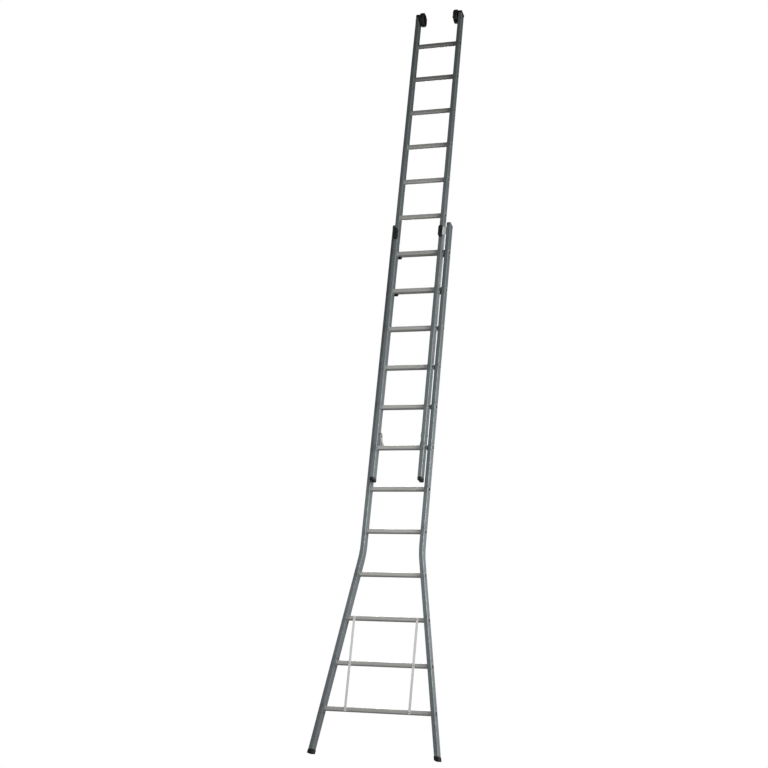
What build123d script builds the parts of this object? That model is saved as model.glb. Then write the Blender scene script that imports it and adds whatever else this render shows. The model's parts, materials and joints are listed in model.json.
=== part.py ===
"""Two-section push-up ladder with a flared base.

The lower section stands on two rubber feet. Its stiles are bent outwards below the fifth rung.
The upper section is narrower, slides up and down in front of the lower rungs, and is held in by
guide brackets at the top of the lower stiles. Two pawls on the upper section stand on a lower rung.
Wheels at the top of the upper section roll along the wall.

Millimetres. X runs along the rungs, +Y points to the wall, +Z runs up the ladder. The origin is on
the floor, midway between the feet, in the middle plane of the lower section.
"""
from build123d import *
import os
from math import cos, hypot, radians, sin, tan

# Rungs
rung_pitch = 280.0
rungs_per_section = 12
first_rung_height = 272.0
rung_size = 28.0
rung_corner = 7.0
rung_wall = 1.8
rung_fit = 0.1
collar_width = 3.5
collar_thickness = 1.6
tread_grooves = 4
tread_groove_pitch = 3.6
tread_groove_width = 1.4
tread_groove_depth = 0.6

# Stiles, the same extrusion in both sections
stile_width = 27.0
stile_depth = 66.0
stile_corner = 5.0
stile_wall = 1.8

# Lower section
lower_spacing = 386.0
lower_head = 200.0
straight_from_rung = 5
bend_radius = 600.0
flare_angle = 9.27

# Upper section, nested between the lower stiles and in front of the lower rungs
nest_gap = 7.0
rung_clearance = 6.5
raised_rungs = 6
upper_rung_drop = 19.0
upper_tail = 204.0
upper_head = 244.0

# Plastic sleeves on the ends of the topmost lower rungs, on which the upper stiles slide
sleeved_rungs = 2
sleeve_length = 45.0
sleeve_gap = 0.5
sleeve_fit = 0.1
sleeve_back = 3.0
sleeve_top = 3.0
sleeve_bottom = 12.0
sleeve_corner = 8.0

# Rubber feet and plastic end caps
foot_height = 24.0
foot_margin = 2.0
foot_plug = 45.0
sole_grooves = 4
sole_groove_pitch = 16.0
sole_groove_width = 5.0
sole_groove_depth = 3.0
cap_flange = 20.0
cap_margin = 0.6
cap_plug = 20.0
cap_edge = 5.0
plug_fit = 0.2

# Guide brackets and pads at the top of the lower section
bracket_thickness = 3.0
bracket_below_top = 80.5
bracket_rise = 38.0
bracket_reach = 54.0
bracket_bend = 3.0
pad_width = 29.0
pad_height = 78.0
pad_corner = 10.0
pad_gap = 1.0
pad_sole = 10.0
pad_face = 8.0
pad_end = 6.0
pad_edge = 3.0
pad_fit = 0.2

# Rivets
rivet_radius = 2.4
rivet_head_radius = 4.5
rivet_head_height = 1.8
rivet_head_taper = 30.0
rivet_tail = 2.0
rivet_fit = 0.1
bracket_rivet_spread_y = 20.0
bracket_rivet_spread_z = 30.0

# Tie strips across the fronts of the lowest, widest rungs
strip_spacing = 407.0
strip_width = 15.0
strip_thickness = 3.0
strip_corner = 2.5
strip_overlap = 12.0
tied_rungs = 3

# Wall wheels at the top of the upper section
axle_below_top = 11.0
axle_radius = 5.0
axle_fit = 0.1
wheel_radius = 51.0
wheel_width = 30.0
wheel_play = 0.5
wheel_running_fit = 0.05
tyre_thickness = 12.0
tyre_edge = 6.0
rim_thickness = 6.0
rim_inset = 2.0
web_thickness = 8.0
boss_radius = 14.0
spacer_length = 5.0
spacer_radius = 9.0
bolt_head_width = 17.0
bolt_head_height = 6.4
nut_height = 8.0
washer_radius = 10.0
washer_thickness = 2.0
thread_end = 3.0

# Pawls on the inner faces of the upper stiles
pawl_thickness = 10.0
pawl_nose_width = 20.0
pawl_flare_height = 34.0
pawl_side_gap = 1.5
pawl_pivot_inset = 14.0
pawl_pivot_rise = 68.0
pawl_boss_radius = 14.0
pawl_nose_start = 6.0
pawl_nose_end = 44.0
pawl_tail_length = 16.0
pawl_tail_width = 14.0
pawl_clearance = 0.3
pivot_radius = 5.0
pivot_running_fit = 0.05
pivot_head_radius = 9.0
pivot_head_height = 3.0
pivot_head_gap = 0.5
stop_radius = 4.0
stop_overhang = 2.0

# Derived places of the lower section
flare = radians(flare_angle)
half_stile = stile_width / 2
half_depth = stile_depth / 2
half_rung = rung_size / 2
bore_size = rung_size - 2 * rung_wall
bore_corner = rung_corner - rung_wall
lower_x = lower_spacing / 2
lower_inner_x = lower_x - half_stile
lower_rungs = [first_rung_height + rung_pitch * n for n in range(rungs_per_section)]
lower_top = lower_rungs[-1] + lower_head
bend_height = lower_rungs[straight_from_rung - 1] - rung_pitch / 2
foot_x = lower_x + bend_height * tan(flare)
stile_cut_width = stile_width / cos(flare)
bracket_height = pad_height - 2 * pad_corner
bracket_z = lower_top - bracket_below_top
bracket_root_z = bracket_z + bracket_rise

# Derived places of the upper section
upper_x = lower_x - stile_width - nest_gap
upper_inner_x = upper_x - half_stile
upper_outer_x = upper_x + half_stile
upper_y = -(half_rung + rung_clearance + half_depth)
upper_front_y = upper_y - half_depth
upper_first_rung = lower_rungs[raised_rungs] - upper_rung_drop
upper_rungs = [upper_first_rung + rung_pitch * n for n in range(rungs_per_section)]
upper_bottom = upper_rungs[0] - upper_tail
upper_top = upper_rungs[-1] + upper_head

os.makedirs("parts", exist_ok=True)


def write(part, name):
    """Label one piece and write it to its own file."""
    part.label = name
    export_step(part, f"parts/{name}.step")


def write_pair(right_part, name):
    """Write the right-hand piece and its mirror image on the left."""
    with BuildPart() as left_hand:
        mirror(right_part, about=Plane.YZ)
    write(right_part, f"{name}_right")
    write(left_hand.part, f"{name}_left")


def stile_outline(grow=0.0):
    """The stile's outer outline, made larger or smaller all round."""
    return RectangleRounded(stile_width + 2 * grow, stile_depth + 2 * grow, stile_corner + grow)


def stile_bore():
    """The hollow inside the stile."""
    width = stile_width - 2 * stile_wall
    depth = stile_depth - 2 * stile_wall
    return RectangleRounded(width, depth, stile_corner - stile_wall, mode=Mode.SUBTRACT)


def lower_stile_line(z):
    """Centre of the right lower stile at a height, and its tilt there in radians."""
    if z < bend_height:
        return lower_x + (bend_height - z) * tan(flare), flare
    return lower_x, 0.0


# Lower stiles: a hollow extrusion, bent outwards over the lowest rungs and cut level at the feet
with BuildPart() as lower_stile:
    with BuildLine(Plane.XZ) as lower_route:
        FilletPolyline(
            (lower_x, lower_top),
            (lower_x, bend_height),
            (foot_x, 0),
            radius=bend_radius,
        )
    with BuildSketch(Plane((lower_x, 0, lower_top))) as lower_section_profile:
        stile_outline()
        stile_bore()
    sweep(sections=lower_section_profile.sketch, path=lower_route.wires()[0])
    split(bisect_by=Plane.XY.offset(foot_height), keep=Keep.TOP)
    with BuildSketch(Plane.YZ) as lower_rung_holes:
        with Locations(*[(0, z) for z in lower_rungs]):
            RectangleRounded(rung_size + 2 * rung_fit, rung_size + 2 * rung_fit, rung_corner + rung_fit)
    extrude(amount=foot_x + stile_width, mode=Mode.SUBTRACT)
    with BuildSketch(Plane.YZ.offset(lower_inner_x)) as bracket_rivet_holes:
        with Locations((0, bracket_root_z)):
            with GridLocations(bracket_rivet_spread_y, bracket_rivet_spread_z, 2, 2):
                Circle(rivet_radius + rivet_fit)
    extrude(amount=stile_wall, mode=Mode.SUBTRACT)
write_pair(lower_stile.part, "lower_stile")

# Upper stiles: the same extrusion, straight, with holes for the rungs, the axle and the pawl pins
axle_z = upper_top - axle_below_top
pivot_y = upper_y + half_depth - pawl_pivot_inset
pivot_z = lower_rungs[raised_rungs] + pawl_pivot_rise
stop_y = pivot_y - pawl_tail_width / 2 - pawl_clearance - stop_radius
stop_z = pivot_z + pawl_tail_length
with BuildPart() as upper_stile:
    with BuildSketch(Plane((upper_x, upper_y, upper_bottom))) as upper_section_profile:
        stile_outline()
        stile_bore()
    extrude(amount=upper_top - upper_bottom)
    with BuildSketch(Plane.YZ) as upper_side_holes:
        with Locations(*[(upper_y, z) for z in upper_rungs]):
            RectangleRounded(rung_size + 2 * rung_fit, rung_size + 2 * rung_fit, rung_corner + rung_fit)
        with Locations((upper_y, axle_z)):
            Circle(axle_radius + axle_fit)
        with Locations((pivot_y, pivot_z)):
            Circle(pivot_radius + axle_fit)
    extrude(amount=upper_outer_x + stile_width, mode=Mode.SUBTRACT)
    with BuildSketch(Plane.YZ.offset(upper_inner_x)) as stop_hole:
        with Locations((stop_y, stop_z)):
            Circle(stop_radius + axle_fit)
    extrude(amount=stile_wall, mode=Mode.SUBTRACT)
write_pair(upper_stile.part, "upper_stile")


def make_rung(y, z, stile_x, tilt, rivet_x=None):
    """A hollow rung through both stiles, with a collar on each side of each stile."""
    outward = Vector(cos(tilt), 0, sin(tilt))
    centre = Vector(stile_x, y, z)
    half_length = stile_x + stile_width
    collar_size = rung_size + 2 * collar_width
    with BuildPart() as rung:
        with BuildSketch(Plane((-half_length, y, z), x_dir=(0, 1, 0), z_dir=(1, 0, 0))):
            RectangleRounded(rung_size, rung_size, rung_corner)
            with Locations((0, half_rung)):
                with GridLocations(tread_groove_pitch, 0, tread_grooves, 1):
                    Rectangle(tread_groove_width, 2 * tread_groove_depth, mode=Mode.SUBTRACT)
        extrude(amount=2 * half_length)
        for face_offset in (half_stile, -half_stile - collar_thickness):
            collar_plane = Plane(centre + outward * face_offset, x_dir=(0, 1, 0), z_dir=outward)
            with BuildSketch(collar_plane):
                RectangleRounded(collar_size, collar_size, rung_corner + collar_width)
            collar = extrude(amount=collar_thickness)
            mirror(collar, about=Plane.YZ)
        end_plane = Plane(centre + outward * (half_stile + collar_thickness), z_dir=outward)
        split(bisect_by=end_plane, keep=Keep.BOTTOM)
        mirrored_out = Vector(-outward.X, 0, outward.Z)
        left_end = Vector(-end_plane.origin.X, y, end_plane.origin.Z)
        split(bisect_by=Plane(left_end, z_dir=mirrored_out), keep=Keep.BOTTOM)
        with BuildSketch(Plane((-half_length, y, z), x_dir=(0, 1, 0), z_dir=(1, 0, 0))):
            RectangleRounded(bore_size, bore_size, bore_corner)
        extrude(amount=2 * half_length, mode=Mode.SUBTRACT)
        if rivet_x:
            with BuildSketch(Plane.XZ.offset(half_rung - y)):
                with Locations((rivet_x, z), (-rivet_x, z)):
                    Circle(rivet_radius + rivet_fit)
            extrude(amount=-rung_wall, mode=Mode.SUBTRACT)
    return rung.part


def write_rungs(rung_at_zero, heights, name, first_number):
    """Place copies of one rung at the heights and write each to its own file."""
    for number, height in enumerate(heights, start=first_number):
        with BuildPart() as placed_rung:
            with Locations((0, 0, height)):
                add(rung_at_zero)
        write(placed_rung.part, f"{name}_{number:02d}")


# Rungs: those in the flare have lengths of their own, the others of a section are alike
strip_x = strip_spacing / 2
for number, height in enumerate(lower_rungs[:straight_from_rung - 1], start=1):
    stile_x, tilt = lower_stile_line(height)
    tied = strip_x if number <= tied_rungs else None
    write(make_rung(0, height, stile_x, tilt, tied), f"lower_rung_{number:02d}")
straight_heights = lower_rungs[straight_from_rung - 1:]
write_rungs(make_rung(0, 0, lower_x, 0.0), straight_heights, "lower_rung", straight_from_rung)
write_rungs(make_rung(upper_y, 0, upper_x, 0.0), upper_rungs, "upper_rung", 1)

# Guide sleeves: each is pushed along its rung up to the collar at the stile, and hangs below the rung
sleeve_front = rung_clearance - sleeve_gap
sleeve_bore = rung_size + 2 * sleeve_fit
sleeve_depth = rung_size + sleeve_front + sleeve_back
sleeve_height = rung_size + sleeve_top + sleeve_bottom
sleeve_middle_y = (sleeve_back - sleeve_front) / 2
sleeve_drop = (sleeve_bottom - sleeve_top) / 2
sleeve_start_x = lower_inner_x - collar_thickness - sleeve_length
with BuildPart() as guide_sleeves:
    for height in lower_rungs[-sleeved_rungs:]:
        with BuildSketch(Plane((sleeve_start_x, 0, height), x_dir=(0, 1, 0), z_dir=(1, 0, 0))):
            with Locations((sleeve_middle_y, -sleeve_drop)):
                RectangleRounded(sleeve_depth, sleeve_height, sleeve_corner)
            RectangleRounded(sleeve_bore, sleeve_bore, rung_corner + sleeve_fit, mode=Mode.SUBTRACT)
        extrude(amount=sleeve_length)
    mirror(about=Plane.YZ)
write(guide_sleeves.part, "guide_sleeves")

# Rubber feet: a block in line with the flared leg, cut level on the floor, with a plug in the stile
leg_down = Vector(sin(flare), 0, -cos(flare))
foot_top_x = foot_x - foot_height * tan(flare)
foot_width = stile_cut_width + 2 * foot_margin
with BuildPart() as foot:
    with BuildSketch(Plane((foot_top_x, 0, foot_height))):
        RectangleRounded(
            foot_width,
            stile_depth + 2 * foot_margin,
            stile_corner + foot_margin,
        )
    extrude(amount=foot_height / cos(flare), dir=leg_down)
    with BuildSketch(Plane((foot_top_x, 0, foot_height))):
        RectangleRounded(
            stile_cut_width - 2 * (stile_wall + plug_fit) / cos(flare),
            stile_depth - 2 * (stile_wall + plug_fit),
            stile_corner - stile_wall,
        )
    extrude(amount=foot_plug, dir=-leg_down)
    with BuildSketch(Plane((foot_x, 0, 0))):
        with GridLocations(0, sole_groove_pitch, 1, sole_grooves):
            Rectangle(2 * foot_width, sole_groove_width)
    extrude(amount=sole_groove_depth, mode=Mode.SUBTRACT)
write_pair(foot.part, "foot")


def make_cap(x, y, z, facing):
    """A plastic cap with a flange over the stile's end and a plug inside it."""
    end = Plane((x, y, z), z_dir=(0, 0, facing))
    with BuildPart() as cap:
        with BuildSketch(end):
            stile_outline(cap_margin)
        extrude(amount=cap_flange)
        fillet(cap.faces().sort_by(Axis((x, y, z), (0, 0, facing)))[-1].edges(), cap_edge)
        with BuildSketch(end):
            stile_outline(-stile_wall - plug_fit)
        extrude(amount=-cap_plug)
    return cap.part


write_pair(make_cap(lower_x, 0, lower_top, 1), "lower_top_cap")
write_pair(make_cap(upper_x, upper_y, upper_bottom, -1), "upper_bottom_cap")

# Top caps of the upper section, pinned in the stiles by the wheels' axle bolts
with BuildPart() as upper_top_cap:
    add(make_cap(upper_x, upper_y, upper_top, 1))
    with BuildSketch(Plane.YZ):
        with Locations((upper_y, axle_z)):
            Circle(axle_radius + axle_fit)
    extrude(amount=upper_outer_x, mode=Mode.SUBTRACT)
write_pair(upper_top_cap.part, "upper_top_cap")

# Guide brackets: an angle of plate on the lower stile's inner face. Its arm slopes down and
# forwards to the pad, and reaches round the upper stile.
pad_back_y = upper_front_y - pad_gap
flange_back_y = pad_back_y - pad_sole
flange_front_y = flange_back_y - bracket_thickness
bracket_back_y = bracket_reach - half_depth
flange_inner_x = upper_x - pad_width / 2 + pad_end
bracket_bottom = bracket_z - bracket_height / 2
bracket_top = bracket_z + bracket_height / 2
root_bottom = bracket_bottom + bracket_rise
root_top = bracket_top + bracket_rise
arm_front_y = flange_back_y + bracket_bend
with BuildPart() as guide_bracket:
    with BuildSketch(Plane.XY.offset(bracket_bottom)):
        with BuildLine():
            Polyline(
                (lower_inner_x, bracket_back_y),
                (lower_inner_x, flange_front_y),
                (flange_inner_x, flange_front_y),
                (flange_inner_x, flange_back_y),
                (lower_inner_x - bracket_thickness, flange_back_y),
                (lower_inner_x - bracket_thickness, bracket_back_y),
                close=True,
            )
        bracket_face = make_face()
        outer_bend = bracket_face.vertices().group_by(Axis.Y)[0].sort_by(Axis.X)[-1]
        inner_bend = bracket_face.vertices().group_by(Axis.Y)[1].sort_by(Axis.X)[-1]
        fillet(outer_bend, bracket_bend + bracket_thickness)
        fillet(inner_bend, bracket_bend)
    extrude(amount=bracket_height + bracket_rise)
    with BuildSketch(Plane.YZ):
        with BuildLine():
            Polyline(
                (bracket_back_y, root_bottom),
                (bracket_back_y, root_top),
                (-half_depth, root_top),
                (arm_front_y, bracket_top),
                (flange_front_y, bracket_top),
                (flange_front_y, bracket_bottom),
                (arm_front_y, bracket_bottom),
                (-half_depth, root_bottom),
                close=True,
            )
        make_face()
    extrude(amount=lower_x, mode=Mode.INTERSECT)
    with BuildSketch(Plane.YZ.offset(lower_inner_x)):
        with Locations((0, bracket_root_z)):
            with GridLocations(bracket_rivet_spread_y, bracket_rivet_spread_z, 2, 2):
                Circle(rivet_radius + rivet_fit)
    extrude(amount=-bracket_thickness, mode=Mode.SUBTRACT)
write_pair(guide_bracket.part, "guide_bracket")

# Guide pads: moulded shoes pushed over the brackets' front flanges
pad_front_y = flange_front_y - pad_face
with BuildPart() as guide_pad:
    with BuildSketch(Plane.XZ.offset(-pad_back_y)):
        with Locations((upper_x, bracket_z)):
            RectangleRounded(pad_width, pad_height, pad_corner)
    extrude(amount=pad_back_y - pad_front_y)
    fillet(guide_pad.faces().sort_by(Axis.Y)[0].edges(), pad_edge)
    with BuildSketch(Plane.XZ.offset(-flange_back_y - pad_fit)):
        with Locations((flange_inner_x - pad_fit + pad_width / 2, bracket_z)):
            Rectangle(pad_width, bracket_height + 2 * pad_fit)
    extrude(amount=bracket_thickness + 2 * pad_fit, mode=Mode.SUBTRACT)
write_pair(guide_pad.part, "guide_pad")


def make_rivet(head_plane, grip):
    """A rivet whose head sits on a plane and whose shank goes down through the grip."""
    with BuildPart() as rivet:
        with BuildSketch(head_plane):
            Circle(rivet_head_radius)
        extrude(amount=rivet_head_height, taper=rivet_head_taper)
        with BuildSketch(head_plane):
            Circle(rivet_radius)
        extrude(amount=-(grip + rivet_tail))
    return rivet.part


# Rivets that hold the guide brackets to the lower stiles
bracket_rivet = make_rivet(
    Plane((lower_inner_x - bracket_thickness, 0, bracket_root_z), z_dir=(-1, 0, 0)),
    bracket_thickness + stile_wall,
)
with BuildPart() as bracket_rivets:
    for step_y in (-bracket_rivet_spread_y / 2, bracket_rivet_spread_y / 2):
        for step_z in (-bracket_rivet_spread_z / 2, bracket_rivet_spread_z / 2):
            add(Pos(0, step_y, step_z) * bracket_rivet)
    mirror(about=Plane.YZ)
write(bracket_rivets.part, "guide_bracket_rivets")

# Tie strips riveted across the fronts of the lowest rungs
strip_bottom = lower_rungs[0] - strip_overlap
strip_top = lower_rungs[tied_rungs - 1] + strip_overlap
strip_front_y = -half_rung - strip_thickness
with BuildPart() as tie_strip:
    with BuildSketch(Plane.XZ.offset(half_rung)):
        with Locations((strip_x, (strip_bottom + strip_top) / 2)):
            RectangleRounded(strip_width, strip_top - strip_bottom, strip_corner)
        with Locations(*[(strip_x, z) for z in lower_rungs[:tied_rungs]]):
            Circle(rivet_radius + rivet_fit, mode=Mode.SUBTRACT)
    extrude(amount=strip_thickness)
write_pair(tie_strip.part, "tie_strip")

strip_rivet = make_rivet(
    Plane((strip_x, strip_front_y, 0), z_dir=(0, -1, 0)),
    strip_thickness + rung_wall,
)
with BuildPart() as tie_strip_rivets:
    for height in lower_rungs[:tied_rungs]:
        add(Pos(0, 0, height) * strip_rivet)
    mirror(about=Plane.YZ)
write(tie_strip_rivets.part, "tie_strip_rivets")

# Wall wheels: a rubber tyre on a moulded hub
wheel_outer_x = upper_inner_x - spacer_length - wheel_play
wheel_inner_x = wheel_outer_x - wheel_width
wheel_middle_x = (wheel_outer_x + wheel_inner_x) / 2
seat_radius = wheel_radius - tyre_thickness
axle_line = Axis((0, upper_y, axle_z), (1, 0, 0))
wheel_plane = Plane((wheel_middle_x, upper_y, axle_z), x_dir=(1, 0, 0), z_dir=(0, -1, 0))
with BuildPart() as wheel_tyre:
    with BuildSketch(wheel_plane) as tyre_profile:
        with Locations((0, seat_radius + tyre_thickness / 2)):
            Rectangle(wheel_width, tyre_thickness)
        fillet(tyre_profile.vertices().group_by(Axis.Y)[-1], tyre_edge)
    revolve(axis=axle_line)
write_pair(wheel_tyre.part, "wheel_tyre")

with BuildPart() as wheel_hub:
    with BuildSketch(wheel_plane):
        bore_radius = axle_radius + wheel_running_fit
        with Locations((0, seat_radius - rim_thickness / 2)):
            Rectangle(wheel_width - 2 * rim_inset, rim_thickness)
        with Locations((0, (bore_radius + seat_radius) / 2)):
            Rectangle(web_thickness, seat_radius - bore_radius)
        with Locations((0, (bore_radius + boss_radius) / 2)):
            Rectangle(wheel_width, boss_radius - bore_radius)
    revolve(axis=axle_line)
write_pair(wheel_hub.part, "wheel_hub")

# Wheel axles: a bolt with a washer through the stile, a spacer sleeve and a flanged nut
bolt_head_x = upper_outer_x + washer_thickness
nut_washer_x = wheel_inner_x - wheel_play
nut_outer_x = nut_washer_x - washer_thickness
bolt_end_x = nut_outer_x - nut_height - thread_end
head_plane = Plane((bolt_head_x, upper_y, axle_z), x_dir=(0, 1, 0), z_dir=(1, 0, 0))
with BuildPart() as wheel_bolt:
    with BuildSketch(head_plane):
        RegularPolygon(bolt_head_width / 2, 6, major_radius=False)
    extrude(amount=bolt_head_height)
    with BuildSketch(head_plane):
        Circle(axle_radius)
    extrude(amount=bolt_end_x - bolt_head_x)
write_pair(wheel_bolt.part, "wheel_bolt")

with BuildPart() as wheel_spacer:
    with BuildSketch(Plane((upper_inner_x, upper_y, axle_z), x_dir=(0, 1, 0), z_dir=(-1, 0, 0))):
        Circle(spacer_radius)
        Circle(axle_radius + axle_fit, mode=Mode.SUBTRACT)
    extrude(amount=spacer_length)
write_pair(wheel_spacer.part, "wheel_spacer")

with BuildPart() as wheel_nuts:
    for washer_x in (upper_outer_x, nut_outer_x):
        with BuildSketch(Plane((washer_x, upper_y, axle_z), x_dir=(0, 1, 0), z_dir=(1, 0, 0))):
            Circle(washer_radius)
            Circle(axle_radius + axle_fit, mode=Mode.SUBTRACT)
        extrude(amount=washer_thickness)
    with BuildSketch(Plane((nut_outer_x, upper_y, axle_z), x_dir=(0, 1, 0), z_dir=(-1, 0, 0))):
        RegularPolygon(bolt_head_width / 2, 6, major_radius=False)
        Circle(axle_radius + axle_fit, mode=Mode.SUBTRACT)
    extrude(amount=nut_height)
    mirror(about=Plane.YZ)
write(wheel_nuts.part, "wheel_nuts_and_washers")

# Pawls: the nose stands on a lower rung, its underside is an arc about the pivot pin, and it
# widens towards the rung
corner_y = -half_rung + rung_corner
corner_rise = half_rung - rung_corner
nose_radius = hypot(pivot_y - corner_y, pawl_pivot_rise - corner_rise) - rung_corner - pawl_clearance
nose_start = radians(pawl_nose_start)
nose_middle = radians((pawl_nose_start + pawl_nose_end) / 2)
nose_end = radians(pawl_nose_end)
pawl_outer_x = upper_inner_x - pawl_side_gap
pawl_inner_x = pawl_outer_x - pawl_thickness
nose_inner_x = pawl_outer_x - pawl_nose_width
pawl_plane = Plane((nose_inner_x, pivot_y, pivot_z), x_dir=(0, 1, 0), z_dir=(1, 0, 0))


def nose_point(angle, radius):
    """A point at an angle behind straight down, at a radius from the pivot."""
    return (radius * sin(angle), -radius * cos(angle))


with BuildPart() as pawl:
    with BuildSketch(pawl_plane):
        with BuildLine():
            Line((-pawl_boss_radius, 0), nose_point(nose_start, nose_radius))
            ThreePointArc(
                nose_point(nose_start, nose_radius),
                nose_point(nose_middle, nose_radius),
                nose_point(nose_end, nose_radius),
            )
            Line(nose_point(nose_end, nose_radius), (pawl_boss_radius, 0))
            Line((pawl_boss_radius, 0), (-pawl_boss_radius, 0))
        make_face()
        Circle(pawl_boss_radius)
        with Locations((0, pawl_tail_length / 2)):
            SlotCenterToCenter(pawl_tail_length, pawl_tail_width, rotation=90)
        Circle(pivot_radius + pivot_running_fit, mode=Mode.SUBTRACT)
    extrude(amount=pawl_nose_width)
    with BuildSketch(Plane.XZ):
        with BuildLine():
            Polyline(
                (nose_inner_x, pivot_z - nose_radius),
                (pawl_inner_x, pivot_z - nose_radius + pawl_flare_height),
                (pawl_inner_x, pivot_z + nose_radius),
                (nose_inner_x - pawl_nose_width, pivot_z + nose_radius),
                (nose_inner_x - pawl_nose_width, pivot_z - nose_radius),
                close=True,
            )
        make_face()
    extrude(amount=2 * nose_radius - pivot_y, both=True, mode=Mode.SUBTRACT)
write_pair(pawl.part, "pawl")

# Pawl pivots: headed pins through the upper stile and the pawl
pivot_inner_x = pawl_inner_x - pivot_head_gap
with BuildPart() as pawl_pivot:
    with BuildSketch(Plane((upper_outer_x, pivot_y, pivot_z), x_dir=(0, 1, 0), z_dir=(1, 0, 0))):
        Circle(pivot_head_radius)
    extrude(amount=pivot_head_height)
    with BuildSketch(Plane((pivot_inner_x, pivot_y, pivot_z), x_dir=(0, 1, 0), z_dir=(1, 0, 0))):
        Circle(pivot_radius)
    extrude(amount=upper_outer_x - pivot_inner_x)
    with BuildSketch(Plane((pivot_inner_x, pivot_y, pivot_z), x_dir=(0, 1, 0), z_dir=(-1, 0, 0))):
        Circle(pivot_head_radius)
    extrude(amount=pivot_head_height)
write_pair(pawl_pivot.part, "pawl_pivot")

# Stop pins in front of the pawls' tails
with BuildPart() as pawl_stop:
    with BuildSketch(Plane((upper_inner_x, stop_y, stop_z), x_dir=(0, 1, 0), z_dir=(-1, 0, 0))):
        Circle(stop_radius)
    extrude(amount=pawl_side_gap + pawl_thickness + stop_overhang)
    extrude(pawl_stop.faces().sort_by(Axis.X)[-1], amount=stile_wall)
write_pair(pawl_stop.part, "pawl_stop")
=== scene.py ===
# %% [markdown]
# # A push-up ladder of two sections
# The CAD model gives every piece its place and size. This script dresses it: it sets up the camera
# and the studio, mixes the finishes, puts each finish on its pieces, and adds the small moulded and
# riveted details. Lengths are in metres. X runs along the rungs, Z runs up the ladder, and the
# climber stands on the side of -Y.

# %% Open the CAD model
import json
from math import cos, pi, radians, sin, tan

import bmesh
import bpy
from mathutils import Matrix, Vector


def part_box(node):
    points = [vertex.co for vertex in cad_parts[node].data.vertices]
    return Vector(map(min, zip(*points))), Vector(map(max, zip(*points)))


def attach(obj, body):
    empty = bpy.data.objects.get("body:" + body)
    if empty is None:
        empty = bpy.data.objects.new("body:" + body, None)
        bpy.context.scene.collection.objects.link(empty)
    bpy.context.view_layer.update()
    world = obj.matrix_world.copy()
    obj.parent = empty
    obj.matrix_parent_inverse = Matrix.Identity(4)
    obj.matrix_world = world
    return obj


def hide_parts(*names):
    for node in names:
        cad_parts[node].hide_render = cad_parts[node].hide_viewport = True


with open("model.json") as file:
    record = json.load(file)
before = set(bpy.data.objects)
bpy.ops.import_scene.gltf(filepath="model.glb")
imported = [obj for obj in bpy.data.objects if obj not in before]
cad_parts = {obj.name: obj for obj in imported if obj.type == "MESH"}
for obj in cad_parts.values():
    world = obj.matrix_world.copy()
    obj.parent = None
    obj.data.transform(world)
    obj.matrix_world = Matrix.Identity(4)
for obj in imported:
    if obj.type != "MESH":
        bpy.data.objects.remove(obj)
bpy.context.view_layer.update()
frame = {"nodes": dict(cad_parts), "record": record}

# %% [markdown]
# ## Camera
# The ladder in the picture leans back against an unseen wall, and the camera stands at eye height
# to its right. Here the ladder stands upright, so it is the camera that tilts: it sits low, looks
# up, and rolls a little. A lens of 65 mm keeps the two stiles nearly parallel, as in the picture.
# The camera's turn is a matrix of three directions: right, up and backwards.

# %% Place the camera
scene = bpy.context.scene
camera_place = (2.6106, -8.1432, -0.9300)
sight = Vector((-0.3010, 0.8826, 0.3611)).normalized()
image_right = Vector((0.9534, 0.2873, 0.0924))
image_right = (image_right - sight * image_right.dot(sight)).normalized()
image_up = image_right.cross(sight)
camera_turn = Matrix((image_right, image_up, -sight)).transposed().to_4x4()
camera_data = bpy.data.cameras.new("camera")
camera_data.lens = 65.34
camera_data.sensor_width = 36.0
camera_data.clip_end = 200.0
camera = bpy.data.objects.new("camera", camera_data)
camera.matrix_world = Matrix.Translation(camera_place) @ camera_turn
scene.collection.objects.link(camera)
scene.camera = camera
scene.view_settings.view_transform = "Standard"
print("Camera looks along", [round(value, 3) for value in sight])

# %% [markdown]
# ## Node sums
# A finish is mostly arithmetic on masks and noises. This small class wraps one output of a node
# tree, so that `1 - mask * 0.3` makes its own Math nodes. Colours go through Mix, vectors go
# through Vector Math, and every other node comes from `node`. It serves the Geometry Nodes too.


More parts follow.
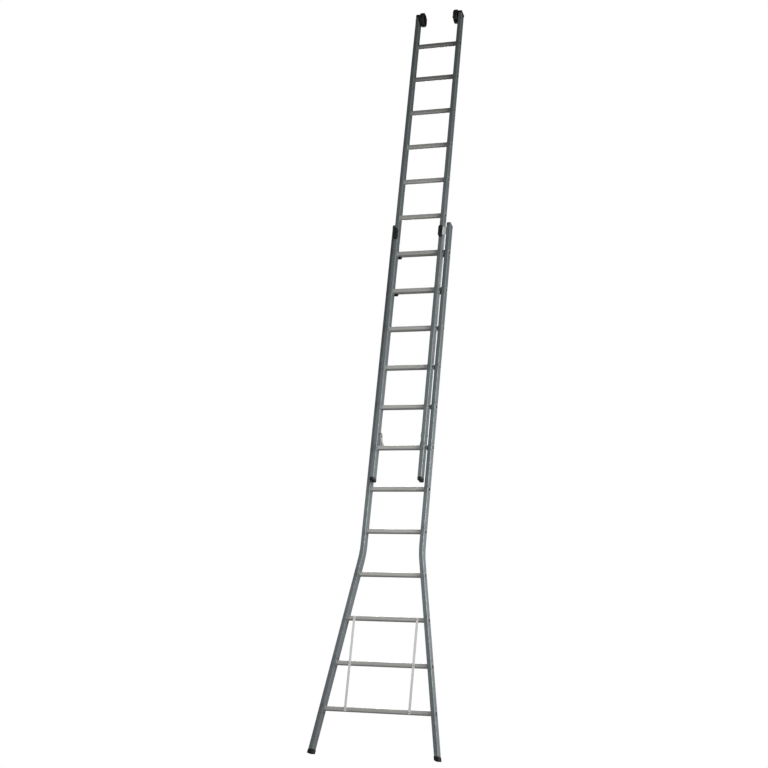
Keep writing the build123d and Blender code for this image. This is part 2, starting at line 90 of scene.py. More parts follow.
# %% Wrap a socket
class Wire:
    """One output socket of a node tree, with arithmetic on values."""

    def __init__(self, tree, socket=None):
        self.tree = tree
        self.socket = socket

    def node(self, kind, settings=None, sockets=None, output=0):
        """Add a node: first its settings, then the values or links of its sockets."""
        made = self.tree.nodes.new(kind)
        for name, value in (settings or {}).items():
            setattr(made, name, value)
        for key, value in (sockets or {}).items():
            if isinstance(value, Wire):
                self.tree.links.new(value.socket, made.inputs[key])
            else:
                made.inputs[key].default_value = value
        return Wire(self.tree, made.outputs[output]) if made.outputs else None

    def math(self, operation, first, second=0.0):
        return self.node("ShaderNodeMath", {"operation": operation}, {0: first, 1: second})

    def __add__(self, other):
        return self.math("ADD", self, other)

    __radd__ = __add__

    def __sub__(self, other):
        return self.math("SUBTRACT", self, other)

    def __rsub__(self, other):
        return self.math("SUBTRACT", other, self)

    def __mul__(self, other):
        return self.math("MULTIPLY", self, other)

    __rmul__ = __mul__

    def __truediv__(self, other):
        return self.math("DIVIDE", self, other)

    def __abs__(self):
        return self.math("ABSOLUTE", self)

    def at_least(self, low):
        return self.math("MAXIMUM", self, low)

    def part(self, index):
        """The X, Y or Z of this vector."""
        return self.node("ShaderNodeSeparateXYZ", None, {0: self}, index)

    def vector(self, x, y, z):
        return self.node("ShaderNodeCombineXYZ", None, {0: x, 1: y, 2: z})

    def length(self):
        """How long this vector is."""
        return self.node("ShaderNodeVectorMath", {"operation": "LENGTH"}, {0: self}, "Value")

    def stretch(self, scale):
        """This vector with each of its parts multiplied."""
        return self.node("ShaderNodeVectorMath", {"operation": "MULTIPLY"}, {0: self, 1: scale})

    def ramp(self, low, high):
        """0 below low, 1 above high, smooth between them."""
        smooth = {"interpolation_type": "SMOOTHSTEP"}
        limits = {"Value": self, "From Min": low, "From Max": high}
        return self.node("ShaderNodeMapRange", smooth, limits)

    def tint(self, dark, light):
        """The colour between dark and light, plain or wired, at this value."""
        ends = [end if isinstance(end, Wire) else (*end, 1.0) for end in (dark, light)]
        colours = {0: self, 6: ends[0], 7: ends[1]}
        return self.node("ShaderNodeMix", {"data_type": "RGBA"}, colours, 2)

    def noise(self, scale, detail=3.0):
        """Noise on this vector, about 0.5 on average."""
        pattern = {"Vector": self, "Scale": scale, "Detail": detail}
        return self.node("ShaderNodeTexNoise", None, pattern)


def clear_nodes(owner):
    """Turn a material's or a world's nodes on, empty its tree and return a wire to start from."""
    owner.use_nodes = True
    owner.node_tree.nodes.clear()
    return Wire(owner.node_tree)


print("Node sums ready")

# %% [markdown]
# ## Studio world
# The picture is a cut-out on plain white. The world shows white to the camera and to polished
# metal, and gives a softer white as light, so that the lamps still shape the ladder.

# %% Make the white world
scene.world = bpy.data.worlds.new("studio")
rays = clear_nodes(scene.world)
white_to = ("Is Camera Ray", "Is Glossy Ray", "Is Transmission Ray")
shows_white = sum(rays.node("ShaderNodeLightPath", output=kind) for kind in white_to).ramp(0.0, 1.0)
ambient = 0.35
sky_look = {"Color": (1.0, 1.0, 1.0, 1.0), "Strength": ambient + shows_white * (1 - ambient)}
sky = rays.node("ShaderNodeBackground", None, sky_look)
sky.node("ShaderNodeOutputWorld", None, {"Surface": sky})
print("World light", ambient)

# %% [markdown]
# ## Lamps
# Window light comes from the right in the picture: the right sides of the stiles are pale, and the
# ladder darkens towards its top. So the largest lamp hangs on the right, at half the ladder's
# height. A weak one in front lifts the inner sides, and a high one behind keeps the back readable
# without lighting the undersides of the rungs.


# %% Hang the lamps
def hang_lamp(name, place, power, aim_height, size=2.5):
    """A square lamp at a place, turned towards the ladder and unseen by the camera."""
    lamp_data = bpy.data.lights.new(name, "AREA")
    lamp_data.size = size
    lamp_data.energy = power
    lamp = bpy.data.objects.new(name, lamp_data)
    lamp.location = place
    aim = Vector((0.0, 0.0, aim_height)) - Vector(place)
    lamp.rotation_euler = aim.to_track_quat("-Z", "Z").to_euler()
    lamp.visible_camera = False
    scene.collection.objects.link(lamp)
    print("Lamp", name, power, "W")


hang_lamp("window_right", (3.3, -1.3, 2.6), power=300.0, aim_height=2.6)
hang_lamp("window_front", (-1.6, -3.0, 2.6), power=26.0, aim_height=2.6)
hang_lamp("window_back", (-1.5, 4.5, 6.0), power=500.0, aim_height=1.2)

# %% [markdown]
# ## Dark card and floor
# Photographers hang a dark card where metal would mirror too much white. This one hangs over the
# set and shows only in reflections. The pale floor carries the shadow and fades to white in the
# distance. It is clear from below, because the tilted camera stands lower than the floor.


# %% Hang the card
def lay_square(name, half, height, corners):
    """A level square of the studio, which is no part of the ladder."""
    mesh = bpy.data.meshes.new(name)
    mesh.from_pydata([(x * half, y * half, height) for x, y in corners], [], [(0, 1, 2, 3)])
    sheet = bpy.data.objects.new(name, mesh)
    scene.collection.objects.link(sheet)
    paint = bpy.data.materials.new(name)
    mesh.materials.append(paint)
    print("Laid", name, 2 * half, "m wide at", height, "m")
    return sheet, clear_nodes(paint)


upward = [(-1, -1), (1, -1), (1, 1), (-1, 1)]
card_half, card_height = 9.0, 6.2
card, card_start = lay_square("dark_card", card_half, card_height, upward[::-1])
card_glow = card_start.node("ShaderNodeEmission", None, {"Strength": 0.04})
card_glow.node("ShaderNodeOutputMaterial", None, {"Surface": card_glow})
card.visible_camera = False
card.visible_diffuse = False
card.visible_shadow = False

# %% Lay the floor
floor_half, floor_height = 40.0, -0.0005
fade_from, fade_to = 0.5, 3.4
floor_start = lay_square("pale_floor", floor_half, floor_height, upward)[1]
seen_directly = floor_start.node("ShaderNodeLightPath", output="Is Camera Ray")
seen_from_below = floor_start.node("ShaderNodeNewGeometry", output="Backfacing")
distance = floor_start.node("ShaderNodeTexCoord", output="Object").length()
fade = distance.ramp(fade_from, fade_to) * seen_directly
floor_colour = seen_directly.tint((0.25, 0.25, 0.25), (0.82, 0.82, 0.82))
pale = floor_start.node("ShaderNodeBsdfDiffuse", None, {"Color": floor_colour})
white = floor_start.node("ShaderNodeEmission", None, {"Color": (1.0, 1.0, 1.0, 1.0)})
clear = floor_start.node("ShaderNodeBsdfTransparent")
top_side = floor_start.node("ShaderNodeMixShader", None, {0: fade, 1: pale, 2: white})
both_sides = {0: seen_from_below, 1: top_side, 2: clear}
floor_look = floor_start.node("ShaderNodeMixShader", None, both_sides)
floor_start.node("ShaderNodeOutputMaterial", None, {"Surface": floor_look})
print("Floor fades to white")

# %% [markdown]
# ## Finishes
# Every finish starts from the object's own coordinates, which stay with the piece as the ladder
# slides. `dress` then ends it: it joins the colour, the roughness and the fine relief to one
# Principled shader. What is the same all over, such as how metallic it is, is set on the shader.


# %% Start and end a finish
finishes = {}


def start_finish(name):
    """A new material, and the object's own coordinates as a wire in its tree."""
    material = bpy.data.materials.new(name)
    finishes[name] = material
    return material, clear_nodes(material).node("ShaderNodeTexCoord", output="Object")


def dress(material, colour, roughness, relief, depth, metallic=0.0, specular=0.5):
    """Give a material its shader, with a relief of a depth in metres."""
    raised = relief.node("ShaderNodeBump", None, {"Height": relief, "Distance": depth})
    look = {
        "Base Color": colour,
        "Roughness": roughness,
        "Normal": raised,
        "Metallic": metallic,
        "Specular IOR Level": specular,
    }
    shader = raised.node("ShaderNodeBsdfPrincipled", None, look)
    shader.node("ShaderNodeOutputMaterial", None, {"Surface": shader})
    print("Mixed", material.name)


# %% [markdown]
# ## Extruded stiles
# A stile is drawn through a die, so fine lines run along its whole length, and over the bend
# of the legs too. The pattern therefore uses the stile's own section: how far a point lies from
# the stile's middle line, with the lean of the legs taken off. Corners are rubbed bright by
# carrying, grime sits round each rung, and the feet's ends are splashed with dirt.

# %% Mix the stile finish
rung_pitch = 0.280
stile_width = 0.027
stile_depth = 0.066
bend_height = 1.252
leg_lean = radians(9.27)
edge_from, edge_to = 0.004, 0.0005
grime_from, grime_to = 0.014, 0.05
splash_from, splash_to = 0.02, 0.5
stile_dark = (0.0695, 0.0812, 0.0845)
stile_light = (0.1455, 0.1655, 0.1695)


def mix_stile_finish(name, line_x, line_y, first_rung, leans):
    """Extruded aluminium for the stiles whose middle lines are at line_x and line_y."""
    material, place = start_finish(name)
    along = place.part(2)
    across = abs(place.part(0)) - line_x
    if leans:
        across = across - (bend_height - along).at_least(0.0) * tan(leg_lean)
    through = place.part(1) - line_y
    section = place.vector(across, through, along)
    die_lines = section.stretch((700.0, 700.0, 2.0)).noise(1.0, detail=2.0)
    broad_lines = section.stretch((190.0, 190.0, 0.5)).noise(1.0, detail=2.0)
    clouds = place.noise(2.3)
    side_edge = abs(across).ramp(stile_width / 2 - edge_from, stile_width / 2 - edge_to)
    front_edge = abs(through).ramp(stile_depth / 2 - edge_from, stile_depth / 2 - edge_to)
    rubbed = side_edge * front_edge * place.noise(45.0).ramp(0.42, 0.62)
    from_rung = along.math("PINGPONG", along - first_rung, rung_pitch / 2)
    grime = (1 - from_rung.ramp(grime_from, grime_to)) * place.noise(30.0).ramp(0.35, 0.75)
    knocks = place.stretch((150.0, 150.0, 45.0)).noise(1.0).ramp(0.66, 0.74)
    splashes = (1 - along.ramp(splash_from, splash_to)) * place.noise(75.0).ramp(0.5, 0.66)
    light = 0.5 + (broad_lines - 0.5) * 0.9 + (die_lines - 0.5) * 0.7 + (clouds - 0.5) * 0.5
    light = light + rubbed * 0.6 + knocks * 0.35 - grime * 0.35 - splashes * 0.25
    colour = light.tint(stile_dark, stile_light)
    roughness = 0.46 + (die_lines - 0.5) * 0.3 - rubbed * 0.12 + grime * 0.15 + splashes * 0.15
    relief = die_lines * 0.6 + broad_lines - knocks * 0.3
    dress(material, colour, roughness, relief, depth=0.0002, metallic=0.45, specular=0.3)


lower_line_x, lower_line_y = 0.193, 0.0
upper_line_x, upper_line_y = 0.159, -0.0535
lower_first_rung, upper_first_rung = 0.272, 1.933
lower_line = lower_line_x, lower_line_y
upper_line = upper_line_x, upper_line_y
mix_stile_finish("lower_stile_aluminium", *lower_line, lower_first_rung, leans=True)
mix_stile_finish("upper_stile_aluminium", *upper_line, upper_first_rung, leans=False)

# %% [markdown]
# ## Rungs
# A rung is drawn too, with its lines across the ladder. Boots polish the middle of the tread and
# leave scuffs there, and the ends by the stiles stay dull. The top of the rung is found from the
# surface's normal. The topmost rungs carry a painted shade that deepens towards the top of the
# ladder. The tube is open at its ends and its inside is painted dark as shade, so the pattern also
# works out how deep a point lies under the rung's rounded surface.


# %% Mix the rung finish
rung_core = 0.007
rung_corner = 0.007
rung_wall = 0.0018
skin_inside, skin_outside = 0.0002, 0.0007
trodden_from, trodden_to = 0.05, 0.14
# Heights of the painted shade over the topmost rungs: where it starts and where it is full.
top_shade_from, top_shade_to = 4.0, 4.9
rung_dark, rung_light = (0.235, 0.235, 0.226), (0.385, 0.385, 0.371)
# Painted shade colours: a dark grey over the topmost rungs, and a near black inside the tube.
rung_top_shade, rung_hollow_shade = (0.155, 0.155, 0.151), (0.03, 0.03, 0.03)


def mix_rung_finish(name, line_y, first_rung):
    """Drawn aluminium for the rungs of one section, with painted shade inside the tube and over the
    topmost rungs.
    """
    material, place = start_finish(name)
    die_lines = place.stretch((2.5, 900.0, 900.0)).noise(1.0)
    broad_lines = place.stretch((0.8, 140.0, 140.0)).noise(1.0)
    clouds = place.noise(3.1)
    facing_up = place.node("ShaderNodeNewGeometry", output="Normal").part(2).ramp(0.3, 0.9)
    trodden = facing_up * (1 - abs(place.part(0)).ramp(trodden_from, trodden_to))
    scuffs = place.stretch((60.0, 240.0, 60.0)).noise(1.0).ramp(0.5, 0.68)
    polish = trodden * (0.4 + scuffs * 0.6)
    beside = (abs(place.part(1) - line_y) - rung_core).at_least(0.0)
    height = place.math("PINGPONG", place.part(2) - first_rung, rung_pitch / 2)
    reach = place.vector(0.0, beside, (height - rung_core).at_least(0.0)).length()
    skin = reach.ramp(rung_corner - rung_wall + skin_inside, rung_corner - skin_outside)
    light = 0.3 + broad_lines * 0.4 + (die_lines - 0.5) * 0.4 + (clouds - 0.5) * 0.6 + polish * 0.5
    bare = light.tint(rung_dark, rung_light)
    # Painted shade: the rungs near the top of the ladder are darkened, as if less light reached
    # them.
    painted_top_shade = place.part(2).ramp(top_shade_from, top_shade_to) * 0.85
    top_shaded = painted_top_shade.tint(bare, rung_top_shade)
    # Painted shade: deep inside the open tube the colour goes to near black, where shade would
    # fall.
    colour = skin.tint(rung_hollow_shade, top_shaded)
    roughness = 0.48 + (die_lines - 0.5) * 0.25 - polish * 0.15 + (1 - skin) * 0.3
    relief = die_lines + scuffs * trodden * 0.6
    dress(material, colour, roughness, relief, depth=0.00012, metallic=0.45, specular=0.3)


mix_rung_finish("lower_rung_aluminium", lower_line_y, lower_first_rung)
mix_rung_finish("upper_rung_aluminium", upper_line_y, upper_first_rung)

# %% [markdown]
# ## Plate
# The guide brackets and the tie strips are cut from rolled plate, which shows the lines of the
# mill. The strips are new and bright. The brackets are duller, because hands and the sliding
# section leave their marks on them.


# %% Mix the plate finishes
def mix_plate_finish(name, dull, bright):
    """Rolled plate between two colours, with mill lines and a few stains."""
    material, place = start_finish(name)
    mill_lines = place.stretch((700.0, 700.0, 12.0)).noise(1.0)
    clouds = place.noise(14.0)
    stains = place.noise(55.0).ramp(0.55, 0.75)
    light = 0.5 + (mill_lines - 0.5) * 0.6 + (clouds - 0.5) * 0.5 - stains * 0.25
    roughness = 0.40 + (mill_lines - 0.5) * 0.25 + stains * 0.15
    colour = light.tint(dull, bright)
    dress(material, colour, roughness, mill_lines, depth=0.0001, metallic=0.4)


mix_plate_finish("plate_aluminium", (0.23, 0.233, 0.233), (0.40, 0.40, 0.397))
mix_plate_finish("strip_aluminium", (0.40, 0.405, 0.405), (0.62, 0.62, 0.615))

# %% [markdown]
# ## Castings
# The pawls are sand castings: no lines, but an even grain. The curved end of the nose rubs over
# a rung each time the ladder is raised, so it is worn bright. How far a point lies from the
# pawl's pivot says where that end is.

# %% Mix the casting finish
pivot_low, pivot_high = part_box("pawl_pivot_right")
pivot = (pivot_low + pivot_high) / 2
worn_from, worn_to = 0.050, 0.059
material, place = start_finish("cast_aluminium")
grain = place.noise(650.0, detail=4.0)
clouds = place.noise(40.0)
from_pivot = place.vector(0.0, place.part(1) - pivot.y, place.part(2) - pivot.z).length()
worn = from_pivot.ramp(worn_from, worn_to) * place.noise(90.0).ramp(0.3, 0.5)
light = 0.4 + (grain - 0.5) * (0.7 - worn * 0.4) + (clouds - 0.5) * 0.6 + worn * 0.5
colour = light.tint((0.30, 0.30, 0.295), (0.52, 0.52, 0.51))
roughness = 0.55 + (grain - 0.5) * 0.3 - worn * 0.2
relief = grain * (1 - worn * 0.7)
dress(material, colour, roughness, relief, depth=0.0003, metallic=0.4)

# %% [markdown]
# ## Rubber and plastic
# Rubber is matt, with a fine skin and a bloom of dust where it meets the ground. Moulded plastic
# has a spark-eroded grain and a faint sheen, and it scuffs paler.

# %% Mix the rubber and plastic finishes
dust_height = 0.018
rubber_colours = (0.006, 0.006, 0.006), (0.026, 0.026, 0.025)
black_colours = (0.005, 0.005, 0.005), (0.020, 0.020, 0.020)
grey_colours = (0.055, 0.057, 0.060), (0.105, 0.108, 0.112)


def mix_moulded_finish(name, deep, scuffed, base_roughness, grain_scale, dusty=False):
    """A dark moulded skin between two colours, with dust near the floor where it is dusty."""
    material, place = start_finish(name)
    grain = place.noise(grain_scale, detail=4.0)
    clouds = place.noise(24.0)
    scuffs = place.stretch((90.0, 90.0, 30.0)).noise(1.0).ramp(0.58, 0.74)
    light = (clouds - 0.3) * 0.5 + (grain - 0.5) * 0.4 + scuffs * 0.35
    if dusty:
        near_floor = 1 - place.part(2).ramp(0.0, dust_height)
        light = light + near_floor * place.noise(130.0).ramp(0.35, 0.7) * 0.35
    roughness = base_roughness + (grain - 0.5) * 0.25 + scuffs * 0.12
    colour = light.tint(deep, scuffed)
    relief = grain + scuffs * 0.3
    dress(material, colour, roughness, relief, depth=0.00015, specular=0.22)


rubber_skin = {"base_roughness": 0.72, "grain_scale": 1100.0, "dusty": True}
mix_moulded_finish("black_rubber", *rubber_colours, **rubber_skin)
mix_moulded_finish("black_plastic", *black_colours, base_roughness=0.50, grain_scale=900.0)
mix_moulded_finish("grey_plastic", *grey_colours, base_roughness=0.52, grain_scale=900.0)

# %% [markdown]
# ## Fasteners
# Zinc plating is a thin bright coat with a soft bluish cloud in it. The wheels' bolts and nuts are
# blackened, and show bare steel only where a spanner has been.

# %% Mix the fastener finishes
material, place = start_finish("zinc_steel")
clouds = place.noise(120.0)
grain = place.noise(1500.0)
colour = (clouds + (grain - 0.5) * 0.4).tint((0.26, 0.265, 0.275), (0.46, 0.465, 0.47))
roughness = 0.34 + clouds * 0.2
dress(material, colour, roughness, grain, depth=0.00008, metallic=0.9)

material, place = start_finish("black_steel")
clouds = place.noise(160.0)
spanner_marks = place.noise(420.0).ramp(0.66, 0.76)
colour = (clouds * 0.5 + spanner_marks * 0.5).tint((0.006, 0.006, 0.007), (0.050, 0.050, 0.052))
relief = clouds + spanner_marks * 0.3
roughness = 0.42 + clouds * 0.2
dress(material, colour, roughness, relief, depth=0.0001, metallic=0.3, specular=0.3)

# %% [markdown]
# ## Dress the CAD pieces
# The record names a finish for each CAD piece. The stiles and rungs take the finish of their own
# section, because its pattern follows their middle lines, and the tie strips take the bright plate.

# %% Put the finishes on
for subpart in frame["record"]["subparts"]:
    node_name = subpart["node"]
    finish_name = subpart["material_slot"]
    if finish_name in ("stile_aluminium", "rung_aluminium"):
        finish_name = node_name.split("_")[0] + "_" + finish_name
    if node_name.startswith("tie_strip_") and finish_name == "plate_aluminium":
        finish_name = "strip_aluminium"
    for slot in frame["nodes"][node_name].material_slots:
        slot.material = finishes[finish_name]

# %% [markdown]
# ## Small details by Geometry Nodes
# Heads, ribs and beads repeat, so each kind is one node tree. A tree runs on a base mesh that only
# says where the details go. `start_tree` opens a tree with named inputs, `end_tree` turns its
# instances into real faces with a finish, and `grow` keeps the result as a plain piece.


# %% Start, end and run a tree
def start_tree(name, inputs):
    """A geometry tree, and its inputs by name as wires."""
    tree = bpy.data.node_groups.new(name, "GeometryNodeTree")
    tree.interface.new_socket("Base", in_out="INPUT", socket_type="NodeSocketGeometry")
    for input_name in inputs:
        tree.interface.new_socket(input_name, in_out="INPUT", socket_type="NodeSocketFloat")
    tree.interface.new_socket("Grown", in_out="OUTPUT", socket_type="NodeSocketGeometry")
    return tree, {key: Wire(tree).node("NodeGroupInput", output=key) for key in ["Base", *inputs]}


def end_tree(shape, finish_name):
    """Make the instances real, give them a finish and send them out of the tree."""
    real = shape.node("GeometryNodeRealizeInstances", None, {0: shape})
    paint = {0: real, "Material": finishes[finish_name]}
    painted = real.node("GeometryNodeSetMaterial", None, paint)
    painted.node("NodeGroupOutput", None, {0: painted})


def grow(name, tree, base_mesh, values, body):
    """Run a tree on a base mesh, and keep what it makes as a plain piece that rides a body."""
    seed = bpy.data.objects.new(name + "_seed", base_mesh)
    scene.collection.objects.link(seed)
    modifier = seed.modifiers.new("grow", "NODES")
    modifier.node_group = tree
    for item in tree.interface.items_tree:
        if item.name in values:
            modifier[item.identifier] = values[item.name]
    grown = seed.evaluated_get(bpy.context.evaluated_depsgraph_get())
    piece = bpy.data.objects.new(name, bpy.data.meshes.new_from_object(grown))
    bpy.data.objects.remove(seed)
    scene.collection.objects.link(piece)
    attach(piece, body)
    print("Grew", name, "with", len(piece.data.polygons), "faces")
    return piece


def spots_mesh(name, spots):
    """A base mesh of loose points, each with the way that its detail faces."""
    mesh = bpy.data.meshes.new(name)
    mesh.from_pydata([place for place, facing in spots], [], [])
    facings = mesh.attributes.new("facing", "FLOAT_VECTOR", "POINT")
    for index, (place, facing) in enumerate(spots):
        facings.data[index].vector = facing
    return mesh


def set_on_spots(points, shape):
    """Put a copy of a shape on each point, with its Z turned to the way that the point faces."""
    vector_name = {"data_type": "FLOAT_VECTOR"}
    facing = shape.node("GeometryNodeInputNamedAttribute", vector_name, {"Name": "facing"})
    turn = facing.node("FunctionNodeAlignRotationToVector", {"axis": "Z"}, {"Vector": facing})
    sockets = {"Points": points, "Instance": shape, "Rotation": turn}
    return turn.node("GeometryNodeInstanceOnPoints", None, sockets)


print("Ready to grow details")

# %% [markdown]
# ## Rivets and screws
# A blind rivet leaves a low dome with a small hole where its mandrel snapped off. A button screw
# is the same dome with a hexagon socket. The tree flattens a sphere into a dome and sinks the hole
# into it, with a flat bottom and a short slope round it.

# %% Build the tree of button heads
hole_flat_share = 0.85


def button_head_tree(finish_name):
    """Domed heads with a round or a hexagon hole, one on each spot."""
    tree, given = start_tree("button_heads", ["Radius", "Height", "Hole", "Hole depth", "Hexagon"])
    sizes = {"Segments": 48, "Rings": 40, "Radius": given["Radius"]}
    ball = given["Base"].node("GeometryNodeMeshUVSphere", None, sizes)
    spot = ball.node("GeometryNodeInputPosition")
    x, y, z = spot.part(0), spot.part(1), spot.part(2)
    round_reach = spot.vector(x, y, 0.0).length()
    flats = [abs(x * cos(turn) + y * sin(turn)) for turn in (0.0, pi / 3, 2 * pi / 3)]
    hex_reach = flats[0].at_least(flats[1]).at_least(flats[2])
    reach = round_reach * (1 - given["Hexagon"]) + hex_reach * given["Hexagon"]
    hole = given["Hole"]
    sunk = (1 - reach.ramp(hole * hole_flat_share, hole)) * given["Hole depth"]
    rise = z.at_least(0.0) * given["Height"] / given["Radius"]
    domed_place = {0: ball, "Position": spot.vector(x, y, rise - sunk)}
    domed = ball.node("GeometryNodeSetPosition", None, domed_place)
    smooth = domed.node("GeometryNodeSetShadeSmooth", None, {0: domed})
    end_tree(set_on_spots(given["Base"], smooth), finish_name)
    return tree


# %% Grow the rivet heads
head_radius = 0.0045
plate_thickness = 0.003
rivets_low, rivets_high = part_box("guide_bracket_rivets")
strip_rivets_low, strip_rivets_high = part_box("tie_strip_rivets")
strip_low, strip_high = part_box("tie_strip_right")
plate_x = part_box("guide_bracket_right")[1].x - plate_thickness
strip_x = (strip_low.x + strip_high.x) / 2
plate_heights = (rivets_low.z + head_radius, rivets_high.z - head_radius)
strip_ends = (strip_rivets_low.z + head_radius, strip_rivets_high.z - head_radius)
rivet_spots = []
for side in (-1, 1):
    for y in (rivets_low.y + head_radius, rivets_high.y - head_radius):
        for z in plate_heights:
            rivet_spots.append(((side * plate_x, y, z), (-side, 0, 0)))
    for z in (strip_ends[0], sum(strip_ends) / 2, strip_ends[1]):
        rivet_spots.append(((side * strip_x, strip_low.y, z), (0, -1, 0)))
rivet_sizes = {
    "Radius": head_radius,
    "Height": 0.0018,
    "Hole": 0.0012,
    "Hole depth": 0.0008,
    "Hexagon": 0.0,
}
rivets = grow(
    "rivet_heads",
    button_head_tree("zinc_steel"),
    spots_mesh("rivet_spots", rivet_spots),
    rivet_sizes,
    "lower_section",
)
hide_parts("guide_bracket_rivets", "tie_strip_rivets")

# %% Grow the screw heads
pad_low, pad_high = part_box("guide_pad_right")
pad_middle = (pad_low + pad_high) / 2
screw_step = 0.022
screw_spots = [
    ((side * pad_middle.x, pad_low.y, pad_middle.z + step), (0, -1, 0))
    for side in (-1, 1)
    for step in (-screw_step, screw_step)
]
screw_sizes = {
    "Radius": 0.0052,
    "Height": 0.0026,
    "Hole": 0.0022,
    "Hole depth": 0.0018,
    "Hexagon": 1.0,
}
grow(
    "pad_screw_heads",
    button_head_tree("black_steel"),
    spots_mesh("screw_spots", screw_spots),
    screw_sizes,
    "lower_section",
)

# %% [markdown]
# ## Wheels
# The wall wheels are moulded: thin ribs stiffen the web of the hub on both sides, and the tyre has
# shallow grooves round its tread. The ribs are one bar, set round a circle by a tree. The tyre is
# turned like a bowl on a lathe, from its outline.


# %% Grow the hub ribs
def hub_rib_tree(rib_count, finish_name):
    """A ring of radial ribs on each spot."""
    tree, given = start_tree("hub_ribs", ["Inner radius", "Outer radius", "Thickness", "Height"])
    inner, outer = given["Inner radius"], given["Outer radius"]
    bar_size = inner.vector(outer - inner, given["Thickness"], given["Height"])
    bar = inner.node("GeometryNodeMeshCube", None, {"Size": bar_size})
    lift = inner.vector(0.0, 0.0, given["Height"] * 0.5)
    raised_bar = bar.node("GeometryNodeTransform", None, {"Geometry": bar, "Translation": lift})
    ring_sizes = {"Vertices": rib_count, "Radius": (inner + outer) * 0.5}
    ring = inner.node("GeometryNodeMeshCircle", None, ring_sizes)
    angle = ring.node("GeometryNodeInputIndex") * (2 * pi / rib_count)
    spread = {"Points": ring, "Instance": raised_bar, "Rotation": ring.vector(0.0, 0.0, angle)}
    spokes = ring.node("GeometryNodeInstanceOnPoints", None, spread)
    end_tree(set_on_spots(given["Base"], spokes), finish_name)
    return tree


half_web = 0.004
ribs_per_side = 8
rib_sizes = {"Inner radius": 0.0135, "Outer radius": 0.0335, "Thickness": 0.003, "Height": 0.008}
hub_ribs = hub_rib_tree(ribs_per_side, "black_plastic")
for side_name in ("left", "right"):
    hub_low, hub_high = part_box("wheel_hub_" + side_name)
    hub_middle = (hub_low + hub_high) / 2
    web_faces = [(hub_middle + Vector((half_web * way, 0, 0)), (way, 0, 0)) for way in (-1, 1)]
    web_spots = spots_mesh("web_faces_" + side_name, web_faces)
    grow(
        "hub_ribs_" + side_name,
        hub_ribs,
        web_spots,
        rib_sizes,
        "wheel_" + side_name,
    )

# %% Draw the tyre's outline
arc_step = 15
arc_points = 7
groove_taper = 0.6


def tyre_outline(half_width, inner, outer, edge, groove_places, groove_half, groove_depth):
    """The tyre's cross-section, with rounded shoulders and grooves in the tread."""
    left = []
    for step in range(arc_points):
        turn = radians(arc_step * step)
        left.append((-half_width + edge - edge * cos(turn), outer - edge + edge * sin(turn)))
    tread = []
    bottom_half = groove_half * groove_taper
    for place in groove_places:
        tread.append((place - groove_half, outer))
        tread.append((place - bottom_half, outer - groove_depth))
        tread.append((place + bottom_half, outer - groove_depth))
        tread.append((place + groove_half, outer))
    right = [(-x, radius) for x, radius in reversed(left)]
    return [(-half_width, inner)] + left + tread + right + [(half_width, inner)]


tyre_low, tyre_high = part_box("wheel_tyre_right")
tyre_radius = (tyre_high.z - tyre_low.z) / 2
tyre_thickness = 0.012
outline = tyre_outline(
    (tyre_high.x - tyre_low.x) / 2,
    tyre_radius - tyre_thickness,
    tyre_radius,
    edge=0.006,
    groove_places=(-0.006, 0.0, 0.006),
    groove_half=0.0012,
    groove_depth=0.0012,
)
print("Tyre outline of", len(outline), "points, radius", round(tyre_radius, 4))

# %% Turn the tyres
lathe_steps = 96
sharp_from = radians(35)


def turn_on_lathe(name, outline, centre, steps):
    """A closed outline of (x, radius) points turned about the wheel's axle."""
    points = []
    faces = []
    count = len(outline)
    for step in range(steps):
        angle = 2 * pi * step / steps
        for x, radius in outline:
            y = centre.y + radius * cos(angle)
            z = centre.z + radius * sin(angle)
            points.append((centre.x + x, y, z))
        ring, next_ring = step * count, (step + 1) % steps * count
        for index in range(count):
            ahead = (index + 1) % count
            faces.append((ring + index, ring + ahead, next_ring + ahead, next_ring + index))
    mesh = bpy.data.meshes.new(name)
    mesh.from_pydata(points, [], faces)
    turned = bmesh.new()
    turned.from_mesh(mesh)
    bmesh.ops.recalc_face_normals(turned, faces=turned.faces)
    turned.to_mesh(mesh)
    turned.free()
    mesh.shade_smooth()
    mesh.set_sharp_from_angle(angle=sharp_from)
    return bpy.data.objects.new(name, mesh)


for side_name in ("left", "right"):
    tyre_low, tyre_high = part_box("wheel_tyre_" + side_name)
    tyre_middle = (tyre_low + tyre_high) / 2
    tyre = turn_on_lathe("tyre_" + side_name, outline, tyre_middle, lathe_steps)
    scene.collection.objects.link(tyre)
    tyre.data.materials.append(finishes["black_rubber"])
    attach(tyre, "wheel_" + side_name)
    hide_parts("wheel_tyre_" + side_name)
    print("Turned", tyre.name, "with", len(tyre.data.polygons), "faces")

# %% [markdown]
# ## Threads
# A few turns of thread show beyond the wheels' nuts. A spiral curve is the path, and a small round
# section swept along it makes the ridge of the thread.


# %% Grow the threads
def thread_tree(finish_name):
    """A short thread that starts on each spot."""
    tree, given = start_tree("threads", ["Radius", "Length", "Turns", "Ridge"])
    sizes = {
        "Resolution": 32,
        "Rotations": given["Turns"],
        "Start Radius": given["Radius"],
        "End Radius": given["Radius"],
        "Height": given["Length"],
    }
    path = given["Base"].node("GeometryNodeCurveSpiral", None, sizes)
    ridge_sizes = {"Resolution": 8, "Radius": given["Ridge"]}
    ridge = path.node("GeometryNodeCurvePrimitiveCircle", None, ridge_sizes)
    swept = path.node("GeometryNodeCurveToMesh", None, {"Curve": path, "Profile Curve": ridge})
    end_tree(set_on_spots(given["Base"], swept), finish_name)
    return tree


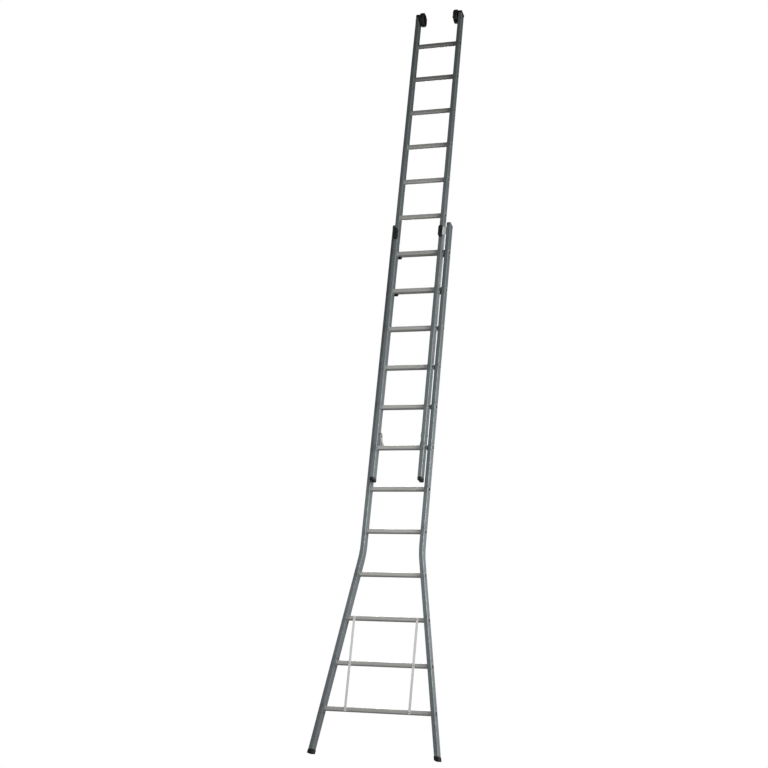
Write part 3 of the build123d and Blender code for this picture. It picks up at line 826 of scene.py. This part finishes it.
bolt_low, bolt_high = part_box("wheel_bolt_right")
bolt_middle = (bolt_low + bolt_high) / 2
thread_spots = [
    ((side * bolt_low.x, bolt_middle.y, bolt_middle.z), (side, 0, 0))
    for side in (-1, 1)
]
thread_sizes = {"Radius": 0.0049, "Length": 0.003, "Turns": 2.0, "Ridge": 0.0004}
grow(
    "bolt_threads",
    thread_tree("black_steel"),
    spots_mesh("bolt_ends", thread_spots),
    thread_sizes,
    "upper_section",
)

# %% [markdown]
# ## Beads on feet and caps
# The rubber feet have three raised beads for a grip in soft ground, and each cap has one bead where
# it meets the stile. The base mesh is the outline of the foot or the cap, and the tree sweeps a
# small round section along it.


# %% Build the tree of beads
def bead_tree(finish_name):
    """A round bead along every line of the base mesh."""
    tree, given = start_tree("beads", ["Bead radius"])
    path = given["Base"].node("GeometryNodeMeshToCurve", None, {"Mesh": given["Base"]})
    section_sizes = {"Resolution": 10, "Radius": given["Bead radius"]}
    section = path.node("GeometryNodeCurvePrimitiveCircle", None, section_sizes)
    swept = path.node("GeometryNodeCurveToMesh", None, {"Curve": path, "Profile Curve": section})
    end_tree(swept, finish_name)
    return tree


def rounded_loop(centre, width, depth, corner):
    """The points of a level rounded rectangle round a centre."""
    loop = []
    corners = ((1, 1, 0), (-1, 1, 90), (-1, -1, 180), (1, -1, 270))
    for sign_x, sign_y, start in corners:
        for step in range(arc_points):
            turn = radians(start + arc_step * step)
            x = centre[0] + sign_x * (width / 2 - corner) + corner * cos(turn)
            y = centre[1] + sign_y * (depth / 2 - corner) + corner * sin(turn)
            loop.append((x, y, centre[2]))
    return loop


def loops_mesh(name, loops):
    """A base mesh of closed lines."""
    points = []
    edges = []
    for loop in loops:
        first = len(points)
        points.extend(loop)
        edges.extend((first + index, first + (index + 1) % len(loop)) for index in range(len(loop)))
    mesh = bpy.data.meshes.new(name)
    mesh.from_pydata(points, edges, [])
    return mesh


print("Ready to grow beads")

# %% Grow the beads of the feet
foot_low, foot_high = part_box("foot_right")
foot_margin = 0.002
foot_corner = 0.007
bead_heights = (0.007, 0.012, 0.017)
foot_width = stile_width / cos(leg_lean) + 2 * foot_margin
foot_x = foot_high.x - foot_width / 2
foot_loops = []
for side in (-1, 1):
    for height in bead_heights:
        centre = (side * (foot_x - height * tan(leg_lean)), 0.0, height)
        foot_loops.append(rounded_loop(centre, foot_width, foot_high.y - foot_low.y, foot_corner))
foot_mesh = loops_mesh("foot_outlines", foot_loops)
foot_bead = {"Bead radius": 0.0009}
grow("foot_beads", bead_tree("black_rubber"), foot_mesh, foot_bead, "lower_section")

# %% Grow the beads of the caps
cap_flange = 0.020
cap_corner = 0.0056
bead_step = 0.0025


def cap_loops(cap_name, at_top):
    """An outline round each cap of a pair, a little way from the stile."""
    loops = []
    for side_name in ("left", "right"):
        low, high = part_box(cap_name + "_" + side_name)
        centre = (low + high) / 2
        centre.z = high.z - cap_flange + bead_step if at_top else low.z + cap_flange - bead_step
        loops.append(rounded_loop(centre, high.x - low.x, high.y - low.y, cap_corner))
    return loops


grey_mesh = loops_mesh("lower_cap_outlines", cap_loops("lower_top_cap", True))
black_loops = cap_loops("upper_top_cap", True) + cap_loops("upper_bottom_cap", False)
black_mesh = loops_mesh("upper_cap_outlines", black_loops)
cap_bead = {"Bead radius": 0.0007}
grey_bead, black_bead = bead_tree("grey_plastic"), bead_tree("black_plastic")
grow("lower_cap_beads", grey_bead, grey_mesh, cap_bead, "lower_section")
grow("upper_cap_beads", black_bead, black_mesh, cap_bead, "upper_section")
